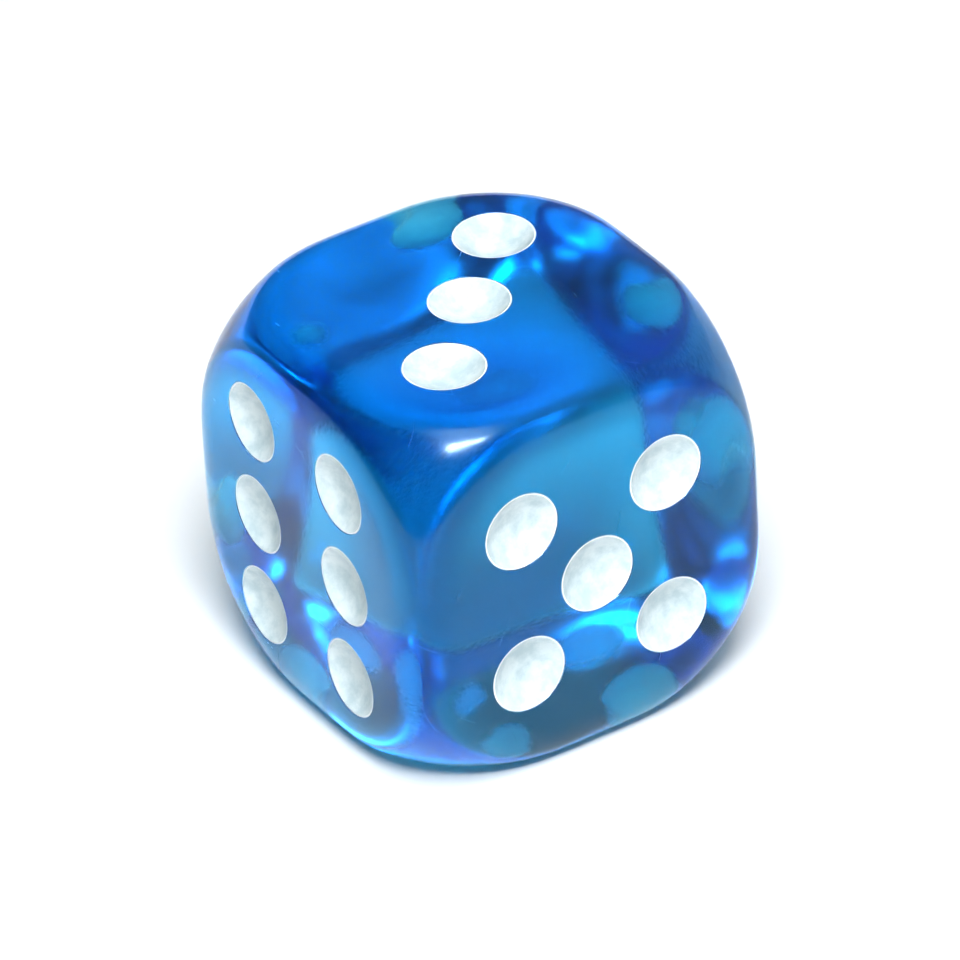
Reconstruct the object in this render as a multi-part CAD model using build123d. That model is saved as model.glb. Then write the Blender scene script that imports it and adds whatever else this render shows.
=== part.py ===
from build123d import *

import os

# A translucent playing die with ball-rounded corners: a clear body and 21 painted pips, each a separate solid.
#
# Frame: +Z up, origin at the middle of the face that the die rests on, the four. The three is on top.
# Faces: one +X, two +Y, three +Z, four -Z, five -Y, six -X. Opposite faces add up to seven, and one, two
# and three run anticlockwise round their shared corner, as on most western dice.
#
# Each pip is a shallow round dimple in the body with a paint fill in it, and each fill is a node of its own.
# Lengths are in millimetres.

# Driving dimensions
EDGE = 16.0  # across any two opposite faces
CORNER_RADIUS = 8.45  # of the balls that round the eight corners
CORNER_CENTRE = 1.6  # each corner ball's centre, from the die's middle along each axis
EDGE_RADIUS = 1.7  # of the rounding along the edges, and where a flat meets a corner ball
PIP_DIAMETER = 3.2  # at the mouth of a dimple
DIMPLE_DEPTH = 0.85
PAINT_DEPTH = 0.12  # at the middle of a fill
PAINT_RECESS = 0.03  # the paint's rim lies this far below the face, so that play doesn't rub it off
PAINT_LIP = 0.05  # width of the flat rim round the paint's hollow
PIP_SPACING = 3.2  # from a face's middle lines to the pips of two, three, four and five
SIX_COLUMN = 3.0  # from the middle line to each column of the six
SIX_ROW = 4.15  # from one pip to the next in a column of the six

MIDDLE = EDGE / 2
CUTTER_RADIUS = (PIP_DIAMETER**2 / 4 + DIMPLE_DEPTH**2) / (2 * DIMPLE_DEPTH)

# Where the pips of each value lie, across (u) and up (v) its face. layout() turns these into millimetres.
CORNERS = {"lower_left": (-1, -1), "upper_left": (-1, 1), "lower_right": (1, -1), "upper_right": (1, 1)}
RISING = {"lower_left": (-1, -1), "upper_right": (1, 1)}
FALLING = {"upper_left": (-1, 1), "lower_right": (1, -1)}
CENTRE = {"centre": (0, 0)}
SIDES = {"middle_left": (-1, 0), "middle_right": (1, 0)}

# Each value's face, with its outward normal, the direction that u runs, and its pips
FACES = {
    "one": {"normal": (1, 0, 0), "across": (0, 1, 0), "pips": CENTRE},
    "two": {"normal": (0, 1, 0), "across": (-1, 0, 0), "pips": FALLING},
    "three": {"normal": (0, 0, 1), "across": (1, 0, 0), "pips": RISING | CENTRE},
    "four": {"normal": (0, 0, -1), "across": (1, 0, 0), "pips": CORNERS},
    "five": {"normal": (0, -1, 0), "across": (1, 0, 0), "pips": CORNERS | CENTRE},
    "six": {"normal": (-1, 0, 0), "across": (0, -1, 0), "pips": CORNERS | SIDES},
}


def layout(value):
    """The pips of one face as {name: (u, v)}, in millimetres from the face's middle."""
    wide, high = (SIX_COLUMN, SIX_ROW) if value == "six" else (PIP_SPACING, PIP_SPACING)
    return {name: (u * wide, v * high) for name, (u, v) in FACES[value]["pips"].items()}


def face_plane(value):
    """The plane of one face, with its origin at the face's middle and its normal pointing out of the die."""
    normal = Vector(*FACES[value]["normal"])
    return Plane(origin=Vector(0, 0, MIDDLE) + normal * MIDDLE, x_dir=FACES[value]["across"], z_dir=normal)


def rounded_cube():
    """The die without its dimples: six flats, eight corner balls, and one radius along every edge.

    The core lies one edge radius inside the die all round, and rolling a ball of that radius over it
    gives the die.
    """
    inner_radius = CORNER_RADIUS - EDGE_RADIUS
    flats = Box(*[EDGE - 2 * EDGE_RADIUS] * 3)
    balls = Box(*[2 * (CORNER_CENTRE + inner_radius)] * 3)
    balls = fillet(balls.edges(), inner_radius)
    core = (flats & balls).solid()
    return Pos(0, 0, MIDDLE) * offset(core, amount=EDGE_RADIUS, kind=Kind.ARC)


def dimple_cutter():
    """The ball that cuts one dimple into a face at Z 0."""
    return Pos(0, 0, CUTTER_RADIUS - DIMPLE_DEPTH) * Sphere(CUTTER_RADIUS)


def paint_fill():
    """The paint in one dimple of a face at Z 0: it lines the dimple and has a hollow of its own."""
    rim_height = CUTTER_RADIUS - DIMPLE_DEPTH + PAINT_RECESS
    rim_radius = (CUTTER_RADIUS**2 - rim_height**2) ** 0.5
    below_rim = Pos(0, 0, -PAINT_RECESS) * Box(
        PIP_DIAMETER, PIP_DIAMETER, DIMPLE_DEPTH, align=(Align.CENTER, Align.CENTER, Align.MAX)
    )
    hollow_width = rim_radius - PAINT_LIP
    hollow_depth = DIMPLE_DEPTH - PAINT_DEPTH - PAINT_RECESS
    hollow_radius = (hollow_width**2 + hollow_depth**2) / (2 * hollow_depth)
    hollow = Pos(0, 0, hollow_radius - hollow_depth - PAINT_RECESS) * Sphere(hollow_radius)
    return (dimple_cutter() & below_rim) - hollow


def main():
    os.makedirs("parts", exist_ok=True)
    body, cutter, fill = rounded_cube(), dimple_cutter(), paint_fill()
    for value in FACES:
        plane = face_plane(value)
        for place, (u, v) in layout(value).items():
            body -= plane * Pos(u, v, 0) * cutter
            export_step(plane * Pos(u, v, 0) * fill, f"parts/pip_{value}_{place}.step")
    export_step(body, "parts/die_body.step")


main()
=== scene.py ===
import math

import bpy
import numpy as np
from mathutils import Matrix, Vector
from mathutils.geometry import delaunay_2d_cdt

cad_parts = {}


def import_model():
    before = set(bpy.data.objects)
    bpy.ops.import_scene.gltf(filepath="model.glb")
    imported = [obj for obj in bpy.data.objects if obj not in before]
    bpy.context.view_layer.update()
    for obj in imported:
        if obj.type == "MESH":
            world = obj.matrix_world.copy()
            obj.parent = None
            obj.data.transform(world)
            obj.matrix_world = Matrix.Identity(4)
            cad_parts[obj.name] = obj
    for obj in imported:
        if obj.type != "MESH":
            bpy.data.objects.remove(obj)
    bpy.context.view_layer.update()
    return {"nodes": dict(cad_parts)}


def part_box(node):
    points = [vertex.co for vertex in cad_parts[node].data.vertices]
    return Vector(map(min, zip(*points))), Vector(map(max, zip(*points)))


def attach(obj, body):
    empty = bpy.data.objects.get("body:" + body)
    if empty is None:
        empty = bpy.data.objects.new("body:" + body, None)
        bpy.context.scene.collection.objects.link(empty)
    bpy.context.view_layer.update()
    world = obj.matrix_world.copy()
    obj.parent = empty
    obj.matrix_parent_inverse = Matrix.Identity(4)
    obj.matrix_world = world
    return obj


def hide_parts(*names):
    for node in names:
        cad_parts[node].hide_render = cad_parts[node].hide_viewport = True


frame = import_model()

MM = 0.001

# The die's dimensions, in millimetres, as in the CAD model
EDGE = 16.0
PIP_DIAMETER = 3.2
DIMPLE_DEPTH = 0.85
PAINT_DEPTH = 0.12
PAINT_RECESS = 0.03
PAINT_LIP = 0.05
PAINT_BOND = 0.02  # the paint is sunk this far into the acrylic, so that no film of air lies between them

# The body is shown with its roundings run into each other, as tumbling leaves them. They start sharper than
# in the CAD model, and each point is then averaged with those BLEND away, which rounds them about as much.
CORNER_RADIUS = 8.36
CORNER_CENTRE = 1.65
EDGE_RADIUS = 1.28
BLEND = 0.96  # less than EDGE_RADIUS, so that no point is averaged from inside the edges' rounding
BLEND_SAMPLES = 24

HALF = EDGE / 2
CENTRE = Vector((0, 0, HALF))
PIP_RADIUS = PIP_DIAMETER / 2
CUTTER_RADIUS = (PIP_RADIUS**2 + DIMPLE_DEPTH**2) / (2 * DIMPLE_DEPTH)

# Mesh fineness
ROUNDING_STEPS = 26  # halvings in the search for the nearest point of a corner ball
GRID_CELLS = 80  # along each side of each face
RIM_POINTS = 72  # round each pip
RIM_GAP = 0.4  # of a grid cell, left free outside each pip, so that no triangle there is a sliver
DIMPLE_RINGS = 8
HOLLOW_POINTS = 10  # along the paint's hollow, from its middle to its lip
BACK_POINTS = 12  # along the paint's back, from its rim to its middle
CREASE_ANGLE = 30

# The set, in metres
FLOOR_LEVEL = -0.02 * MM  # just clear of the die, so that no two surfaces lie in one plane
LIGHT_DISTANCE = 0.25  # from the die's middle
LIGHT_COLOUR = (0.96, 0.99, 1.01)


def pip_places():
    """{CAD node: (outward axis index, sign, (u, v))} for each pip, in millimetres from the die's middle.

    u and v run along the next two axes after the outward one, in the order X, Y, Z, X, Y."""
    places = {}
    for node in sorted(frame["nodes"]):
        if not node.startswith("pip_"):
            continue
        low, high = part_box(node)
        size, middle = high - low, (high + low) / 2 / MM - CENTRE
        axis = min(range(3), key=lambda i: size[i])
        u, v = (middle[(axis + 1) % 3], middle[(axis + 2) % 3])
        places[node] = (axis, 1 if middle[axis] > 0 else -1, (u, v))
    return places


def rounded(points):
    """The nearest points of a cube with ball corners and one edge radius, for points on or near its faces."""
    signs = np.where(points < 0, -1.0, 1.0)
    outside = np.abs(points) - CORNER_CENTRE
    flat = HALF - EDGE_RADIUS - CORNER_CENTRE
    ball = CORNER_RADIUS - EDGE_RADIUS
    # The pull draws a point in towards a corner ball: 0 on the flats and under 1 at the corners, so 4 is ample
    low, high = np.zeros(len(points)), np.full(len(points), 4.0)
    for _ in range(ROUNDING_STEPS):
        pull = (low + high) / 2
        inner = np.minimum(np.maximum(outside, 0) / (1 + pull)[:, None], flat)
        too_far = (inner * inner).sum(axis=1) > ball * ball
        low, high = np.where(too_far, pull, low), np.where(too_far, high, pull)
    inner = np.minimum(np.where(outside > 0, outside / (1 + high)[:, None], outside), flat)
    away = outside - inner
    away *= EDGE_RADIUS / np.linalg.norm(away, axis=1)[:, None]
    return (inner + away + CORNER_CENTRE) * signs


def blend_offsets():
    """Steps of BLEND, spread evenly over all directions, in opposite pairs."""
    index = np.arange(BLEND_SAMPLES) + 0.5
    tilt = np.arccos(1 - 2 * index / BLEND_SAMPLES)
    turn = math.pi * (1 + math.sqrt(5)) * index
    ways = [np.cos(turn) * np.sin(tilt), np.sin(turn) * np.sin(tilt), np.cos(tilt)]
    steps = BLEND * np.stack(ways, axis=1)
    return np.concatenate([steps, -steps])


def on_body(points):
    """Where points on the faces of the cube round the die lie on the undimpled body."""
    return sum(rounded(points + step) for step in blend_offsets()) / (2 * BLEND_SAMPLES)


def settled(points, axis, sign):
    """Points (u, v, height) over a face, set on the body: height HALF is its surface, and less is inside."""
    cube = np.full((len(points), 3), HALF * sign)
    cube[:, (axis + 1) % 3] = points[:, 0]
    cube[:, (axis + 2) % 3] = points[:, 1]
    placed = on_body(cube)
    placed[:, axis] += (points[:, 2] - HALF) * sign
    return placed


def circle(radius, count, centre=(0, 0)):
    """Evenly spaced points (x, y) round a circle."""
    angles = 2 * math.pi * np.arange(count) / count
    return np.stack([centre[0] + radius * np.cos(angles), centre[1] + radius * np.sin(angles)], axis=1)


class Shell:
    """The vertices and faces of one piece, gathered patch by patch, in millimetres from the die's middle."""

    def __init__(self):
        self.points, self.faces, self.count = [], [], 0

    def add(self, points, faces, flip=False):
        self.points.append(points)
        self.faces += [[i + self.count for i in (face[::-1] if flip else face)] for face in faces]
        self.count += len(points)

    def mesh(self, name):
        """One smooth mesh of all the patches, joined where they meet and creased round the pips."""
        mesh = bpy.data.meshes.new(name)
        points, merged = np.unique(np.round(np.concatenate(self.points), 5), axis=0, return_inverse=True)
        merged = merged.reshape(-1)
        faces = [[int(merged[i]) for i in face] for face in self.faces]
        mesh.from_pydata(((points + np.array(CENTRE)) * MM).tolist(), [], faces)
        mesh.polygons.foreach_set("use_smooth", [True] * len(mesh.polygons))
        mesh.update()
        mesh.set_sharp_from_angle(angle=math.radians(CREASE_ANGLE))
        return mesh


def face_patch(holes):
    """One face of the body as points (u, v) and triangles, with a round hole for each pip."""
    steps = np.linspace(-HALF, HALF, GRID_CELLS + 1)
    grid = np.stack(np.meshgrid(steps, steps, indexing="ij"), axis=-1).reshape(-1, 2)
    cell = EDGE / GRID_CELLS
    points, edges = [], []
    for hole in holes:
        grid = grid[np.linalg.norm(grid - np.array(hole), axis=1) > PIP_RADIUS + RIM_GAP * cell]
        start = len(points) * RIM_POINTS
        points.append(circle(PIP_RADIUS, RIM_POINTS, hole))
        edges += [(start + i, start + (i + 1) % RIM_POINTS) for i in range(RIM_POINTS)]
    points = np.concatenate(points + [grid])
    out = delaunay_2d_cdt([Vector(p) for p in points], edges, [], 0, 1e-6)
    found, faces = np.array([tuple(p) for p in out[0]]), out[2]
    # A triangle in a hole has all its corners on the rim, so its middle lies a little further in than the rim
    inside = PIP_RADIUS * 0.9995
    kept = []
    for face in faces:
        middle = found[list(face)].mean(axis=0)
        if all(math.dist(middle, hole) > inside for hole in holes):
            kept.append(tuple(face))
    return found, kept


def dimple_patch():
    """The wall of one dimple in a face at height 0, as points (u, v, height) and faces."""
    rim = math.asin(PIP_RADIUS / CUTTER_RADIUS)
    rings = [np.array([[0, 0, -DIMPLE_DEPTH]])]
    for k in range(1, DIMPLE_RINGS + 1):
        angle = rim * k / DIMPLE_RINGS
        height = CUTTER_RADIUS - DIMPLE_DEPTH - CUTTER_RADIUS * math.cos(angle)
        ring = circle(CUTTER_RADIUS * math.sin(angle), RIM_POINTS)
        rings.append(np.column_stack([ring, np.full(RIM_POINTS, height)]))
    rings[-1][:, 2] = 0
    faces = []
    for i in range(RIM_POINTS):
        j = (i + 1) % RIM_POINTS
        faces.append((0, 1 + i, 1 + j))
        for k in range(DIMPLE_RINGS - 1):
            near, far = 1 + k * RIM_POINTS, 1 + (k + 1) * RIM_POINTS
            faces.append((near + i, far + i, far + j, near + j))
    return np.concatenate(rings), faces


def body_mesh(places):
    """The whole acrylic body: six faces with round holes, and a dimple in each hole."""
    shell = Shell()
    dimple, dimple_faces = dimple_patch()
    for axis in range(3):
        for sign in (-1, 1):
            holes = [spot for a, s, spot in places.values() if (a, s) == (axis, sign)]
            flat, faces = face_patch(holes)
            level = np.column_stack([flat, np.full(len(flat), HALF)])
            shell.add(settled(level, axis, sign), faces, flip=sign < 0)
            for u, v in holes:
                sunk = dimple + np.array([u, v, HALF])
                shell.add(settled(sunk, axis, sign), dimple_faces, flip=sign < 0)
    return shell.mesh("die_acrylic")


def arc(radius, height, start, end, count):
    """Points (distance from the axis, height) along a bowl of that radius, by angle from its bottom."""
    angles = np.linspace(start, end, count)
    return [(radius * math.sin(a), height + radius * (1 - math.cos(a))) for a in angles]


def paint_profile():
    """The fill's outline from the middle of its hollow, out over its lip and back under it to its middle."""
    rim_height = CUTTER_RADIUS - DIMPLE_DEPTH + PAINT_RECESS
    rim_radius = math.sqrt(CUTTER_RADIUS**2 - rim_height**2)
    width, depth = rim_radius - PAINT_LIP, DIMPLE_DEPTH - PAINT_DEPTH - PAINT_RECESS
    hollow_radius = (width**2 + depth**2) / (2 * depth)
    hollow = arc(hollow_radius, -PAINT_RECESS - depth, 0, math.asin(width / hollow_radius), HOLLOW_POINTS)
    back_radius = CUTTER_RADIUS + PAINT_BOND
    back_rim = math.acos((CUTTER_RADIUS - DIMPLE_DEPTH + PAINT_RECESS) / back_radius)
    back = arc(back_radius, -DIMPLE_DEPTH - PAINT_BOND, back_rim, 0, BACK_POINTS)
    return hollow, back


def paint_mesh(name, axis, sign, spot):
    """One pip's paint, with its hollow in the first material and the side on the acrylic in the second."""
    hollow, back = paint_profile()
    profile = hollow + back
    rings = len(profile) - 2
    points = [(0, 0, profile[0][1])]
    for radius, height in profile[1:-1]:
        points += [(x, y, height) for x, y in circle(radius, RIM_POINTS)]
    points.append((0, 0, profile[-1][1]))
    hollow_end = (len(hollow) - 1) * RIM_POINTS
    faces = []
    for i in range(RIM_POINTS):
        j = (i + 1) % RIM_POINTS
        faces.append((0, 1 + i, 1 + j))
        for k in range(rings - 1):
            near, far = 1 + k * RIM_POINTS, 1 + (k + 1) * RIM_POINTS
            faces.append((near + i, far + i, far + j, near + j))
        outer = 1 + (rings - 1) * RIM_POINTS
        faces.append((outer + i, len(points) - 1, outer + j))
    sunk = np.array(points) + np.array([spot[0], spot[1], HALF])
    shell = Shell()
    shell.add(settled(sunk, axis, sign), faces, flip=sign < 0)
    mesh = shell.mesh(name)
    for polygon, face in zip(mesh.polygons, faces):
        polygon.material_index = int(max(face) > hollow_end)
    return mesh


def piece(name, mesh, materials, slot, *nodes):
    """A visible piece of the die, in place of the named CAD nodes."""
    shown = bpy.data.objects.new(name, mesh)
    bpy.context.scene.collection.objects.link(shown)
    for material in materials:
        mesh.materials.append(material)
    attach(shown, "root")
    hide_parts(*nodes)
    return shown


# Materials


def new_material(name):
    material = bpy.data.materials.new(name)
    material.use_nodes = True
    tree = material.node_tree
    return material, tree, tree.nodes["Principled BSDF"]


def node(tree, kind, inputs=(), **settings):
    """A new shader node. Each input is a value, or another node's output to link to it."""
    made = tree.nodes.new(kind)
    for key, value in settings.items():
        setattr(made, key, value)
    for key, value in dict(inputs).items():
        if isinstance(value, bpy.types.NodeSocket):
            tree.links.new(value, made.inputs[key])
        else:
            made.inputs[key].default_value = value
    return made


def place(tree):
    """Object coordinates in millimetres."""
    coordinates = node(tree, "ShaderNodeTexCoord")
    scale = node(tree, "ShaderNodeVectorMath", {0: coordinates.outputs["Object"], 1: (1000, 1000, 1000)},
                 operation="MULTIPLY")
    return scale.outputs["Vector"]


def acrylic():
    """Clear blue plastic: colour by absorption, a little haze, faint ripples, and rare fine scratches."""
    material, tree, shader = new_material("blue_acrylic")
    at = place(tree)
    smudges = node(tree, "ShaderNodeTexNoise", {"Vector": at, "Scale": 0.35, "Detail": 4.0, "Roughness": 0.6})
    haze = node(tree, "ShaderNodeMapRange", {"Value": smudges.outputs["Fac"], "From Min": 0.45,
                                             "From Max": 0.75, "To Min": 0.14, "To Max": 0.19})
    tint = node(tree, "ShaderNodeMix", {"Factor": smudges.outputs["Fac"], "A": (0.92, 0.96, 0.99, 1.0),
                                        "B": (1.0, 1.0, 1.0, 1.0)}, data_type="RGBA")
    peel = node(tree, "ShaderNodeTexNoise", {"Vector": at, "Scale": 4.0, "Detail": 2.0, "Roughness": 0.6})
    bump = node(tree, "ShaderNodeBump", {"Height": peel.outputs["Fac"], "Strength": 1.0,
                                         "Distance": 0.000003})
    tree.links.new(bump.outputs["Normal"], shader.inputs["Normal"])
    stretched = node(tree, "ShaderNodeVectorMath", {0: at, 1: (1.0, 0.45, 0.7)}, operation="MULTIPLY")
    cracks = node(tree, "ShaderNodeTexVoronoi", {"Vector": stretched.outputs["Vector"], "Scale": 0.5},
                  feature="DISTANCE_TO_EDGE")
    lines = node(tree, "ShaderNodeMapRange", {"Value": cracks.outputs["Distance"], "From Min": 0.004,
                                              "From Max": 0.012, "To Min": 1.0, "To Max": 0.0})
    worn = node(tree, "ShaderNodeTexNoise", {"Vector": at, "Scale": 0.6, "Detail": 1.0})
    spots = node(tree, "ShaderNodeMapRange", {"Value": worn.outputs["Fac"], "From Min": 0.6, "From Max": 0.66,
                                              "To Min": 0.0, "To Max": 0.12})
    scratches = node(tree, "ShaderNodeMath", {0: lines.outputs["Result"], 1: spots.outputs["Result"],
                                              2: haze.outputs["Result"]}, operation="MULTIPLY_ADD")
    tree.links.new(scratches.outputs["Value"], shader.inputs["Roughness"])
    tree.links.new(tint.outputs["Result"], shader.inputs["Base Color"])
    shader.inputs["Transmission Weight"].default_value = 1.0
    shader.inputs["IOR"].default_value = 1.49
    shader.inputs["Specular Tint"].default_value = (0.6, 0.8, 1.0, 1.0)
    shader.inputs["Coat Weight"].default_value = 0.12
    shader.inputs["Coat Roughness"].default_value = 0.02
    shader.inputs["Coat IOR"].default_value = 1.49
    inside = node(tree, "ShaderNodeVolumeAbsorption", {"Color": (0.1, 0.872, 0.985, 1.0), "Density": 300.0})
    tree.links.new(inside.outputs["Volume"], tree.nodes["Material Output"].inputs["Volume"])
    return material


def paint(name, darkest, lightest, translucency):
    """Dried white paint, unevenly thick, with a fine grain. Greyed colours given to it are painted shade."""
    material, tree, shader = new_material(name)
    at = place(tree)
    mottle = node(tree, "ShaderNodeTexNoise", {"Vector": at, "Scale": 1.4, "Detail": 4.0, "Roughness": 0.6})
    patches = node(tree, "ShaderNodeMapRange", {"Value": mottle.outputs["Fac"], "From Min": 0.35,
                                                "From Max": 0.6})
    tint = node(tree, "ShaderNodeMix", {"Factor": patches.outputs["Result"], "A": (*darkest, 1.0),
                                        "B": (*lightest, 1.0)}, data_type="RGBA")
    grain = node(tree, "ShaderNodeTexNoise", {"Vector": at, "Scale": 9.0, "Detail": 3.0})
    bump = node(tree, "ShaderNodeBump", {"Height": grain.outputs["Fac"], "Strength": 0.25,
                                         "Distance": 0.00003})
    rough = node(tree, "ShaderNodeMapRange", {"Value": grain.outputs["Fac"], "To Min": 0.4, "To Max": 0.6})
    tree.links.new(tint.outputs["Result"], shader.inputs["Base Color"])
    tree.links.new(bump.outputs["Normal"], shader.inputs["Normal"])
    tree.links.new(rough.outputs["Result"], shader.inputs["Roughness"])
    shader.inputs["Subsurface Weight"].default_value = translucency
    shader.inputs["Subsurface Radius"].default_value = (1.0, 1.0, 1.0)
    shader.inputs["Subsurface Scale"].default_value = 0.0001
    return material


def floor_material():
    """Pale, with a glow that grows away from the die, in place of the light that a far floor would get."""
    material, tree, shader = new_material("pale_floor")
    at = place(tree)
    grain = node(tree, "ShaderNodeTexNoise", {"Vector": at, "Scale": 0.02, "Detail": 2.0})
    tint = node(tree, "ShaderNodeMix", {"Factor": grain.outputs["Fac"], "A": (0.93, 0.93, 0.93, 1.0),
                                        "B": (0.95, 0.95, 0.95, 1.0)}, data_type="RGBA")
    far = node(tree, "ShaderNodeVectorMath", {0: at}, operation="LENGTH")
    glow = node(tree, "ShaderNodeMapRange", {"Value": far.outputs["Value"], "From Min": 60.0,
                                             "From Max": 300.0, "To Min": 0.0, "To Max": 0.7})
    tree.links.new(tint.outputs["Result"], shader.inputs["Base Color"])
    tree.links.new(glow.outputs["Result"], shader.inputs["Emission Strength"])
    shader.inputs["Emission Color"].default_value = (*LIGHT_COLOUR, 1.0)
    shader.inputs["Roughness"].default_value = 0.8
    return material


def backdrop_material():
    material, _, shader = new_material("pale_backdrop")
    shader.inputs["Base Color"].default_value = (0.0, 0.0, 0.0, 1.0)
    shader.inputs["Emission Color"].default_value = (*LIGHT_COLOUR, 1.0)
    shader.inputs["Emission Strength"].default_value = 0.8
    return material


# Set


def floor():
    mesh = bpy.data.meshes.new("floor")
    side, z = 1.5, FLOOR_LEVEL
    corners = [(-side, -side, z), (side, -side, z), (side, side, z), (-side, side, z)]
    mesh.from_pydata(corners, [], [(0, 1, 2, 3)])
    mesh.materials.append(floor_material())
    shown = bpy.data.objects.new("floor", mesh)
    bpy.context.scene.collection.objects.link(shown)


def backdrop():
    """A pale wall round the floor. Only the camera sees it, so it leaves the light in the die as it is."""
    mesh = bpy.data.meshes.new("backdrop")
    radius, height, sides = 0.9, 0.8, 64
    ring = circle(radius, sides).tolist()
    faces = [(i, (i + 1) % sides, sides + (i + 1) % sides, sides + i) for i in range(sides)]
    mesh.from_pydata([(x, y, z) for z in (FLOOR_LEVEL, height) for x, y in ring], [], faces)
    mesh.materials.append(backdrop_material())
    shown = bpy.data.objects.new("backdrop", mesh)
    shown.visible_diffuse = shown.visible_glossy = shown.visible_transmission = shown.visible_shadow = False
    bpy.context.scene.collection.objects.link(shown)


def direction(azimuth, elevation):
    """The way from the die to a point at that azimuth and elevation, in degrees; azimuth 0 is towards -Y."""
    a, e = math.radians(azimuth), math.radians(elevation)
    return Vector((math.sin(a) * math.cos(e), -math.cos(a) * math.cos(e), math.sin(e)))


def softbox(name, azimuth, elevation, width, height, power, spin=0.0, mirrored=True, refracted=True):
    """A rectangular light, in degrees, metres and watts.

    Gloss shows it only if it is mirrored, and it enters the die only if it is refracted."""
    light = bpy.data.lights.new(name, "AREA")
    light.shape = "RECTANGLE"
    light.size, light.size_y = width, height
    light.energy = power
    light.color = LIGHT_COLOUR
    shown = bpy.data.objects.new(name, light)
    back = direction(azimuth, elevation)
    right = Vector((math.cos(math.radians(azimuth)), math.sin(math.radians(azimuth)), 0))
    up = back.cross(right)
    turn = Matrix((right, up, back)).transposed().to_4x4() @ Matrix.Rotation(math.radians(spin), 4, "Z")
    shown.matrix_world = Matrix.Translation(CENTRE * MM + back * LIGHT_DISTANCE) @ turn
    shown.visible_glossy = mirrored
    shown.visible_transmission = refracted
    bpy.context.scene.collection.objects.link(shown)


def world(dim, pale, azimuth, elevation):
    """A dim room with a paler patch in one direction, which the die's top reflects towards the camera."""
    made = bpy.data.worlds.new("studio")
    made.use_nodes = True
    tree = made.node_tree
    way = node(tree, "ShaderNodeTexCoord")
    patch = direction(azimuth, elevation)
    edge, middle = 0.24, 0.9  # cosines of the angle from the patch's centre, where it ends and where it is full
    facing = node(tree, "ShaderNodeVectorMath", {0: way.outputs["Generated"], 1: patch},
                  operation="DOT_PRODUCT")
    strength = node(tree, "ShaderNodeMapRange", {"Value": facing.outputs["Value"], "From Min": edge,
                                                 "From Max": middle, "To Min": dim, "To Max": pale},
                    interpolation_type="SMOOTHSTEP")
    background = tree.nodes["Background"]
    background.inputs["Color"].default_value = (*LIGHT_COLOUR, 1.0)
    tree.links.new(strength.outputs["Result"], background.inputs["Strength"])
    bpy.context.scene.world = made


def camera():
    """The camera, turned by roll about its own axis and aimed close to the die's middle."""
    azimuth, elevation, roll = -31.48, 33.94, -3.25
    distance = 363.0 * MM
    data = bpy.data.cameras.new("camera")
    data.lens, data.sensor_width = 361.0, 36.0
    data.clip_start, data.clip_end = 0.01, 10.0
    shown = bpy.data.objects.new("camera", data)
    back = direction(azimuth, elevation)
    flat = Vector((math.cos(math.radians(azimuth)), math.sin(math.radians(azimuth)), 0))
    rise = back.cross(flat)
    r = math.radians(roll)
    right = math.cos(r) * flat + math.sin(r) * rise
    up = math.cos(r) * rise - math.sin(r) * flat
    aim_right, aim_up = 0.024 * MM, -0.088 * MM
    aim = CENTRE * MM + aim_right * right + aim_up * up
    turn = Matrix((right, up, back)).transposed().to_4x4()
    shown.matrix_world = Matrix.Translation(aim + back * distance) @ turn
    bpy.context.scene.collection.objects.link(shown)
    bpy.context.scene.camera = shown


places = pip_places()
body = piece("die_acrylic", body_mesh(places), (acrylic(),), "body_plastic", "die_body")
# The pips' hollows take a darker, bluish grey than the paint on the acrylic side: painted shade on one copy of
# the same white paint.
outer = paint("pip_paint_painted_shade", (0.49, 0.59, 0.62), (0.66, 0.735, 0.75), 0.3)
inner = paint("pip_paint_on_acrylic_side", (0.93, 0.94, 0.94), (0.96, 0.97, 0.97), 0.0)
for name, (axis, sign, spot) in places.items():
    shown = name.replace("pip_", "paint_")
    piece(shown, paint_mesh(shown, axis, sign, spot), (outer, inner), "pip_paint", name)

floor()
backdrop()
camera()
world(0.05, 0.56, 80, 20)
softbox("key", -28, 61, 0.12, 0.12, 0.68, mirrored=False)
softbox("fill", -60, 40, 0.07, 0.07, 0.04, mirrored=False, refracted=False)
softbox("back_fill", 135, 10, 0.09, 0.05, 0.12, mirrored=False, refracted=False)
softbox("strip", -29, 51, 0.09, 0.013, 0.28, spin=14, refracted=False)

scene = bpy.context.scene
scene.view_settings.view_transform = "Standard"
scene.view_settings.gamma = 0.88
scene.cycles.max_bounces = 32
scene.cycles.glossy_bounces = 24
scene.cycles.transmission_bounces = 24
scene.cycles.diffuse_bounces = 6
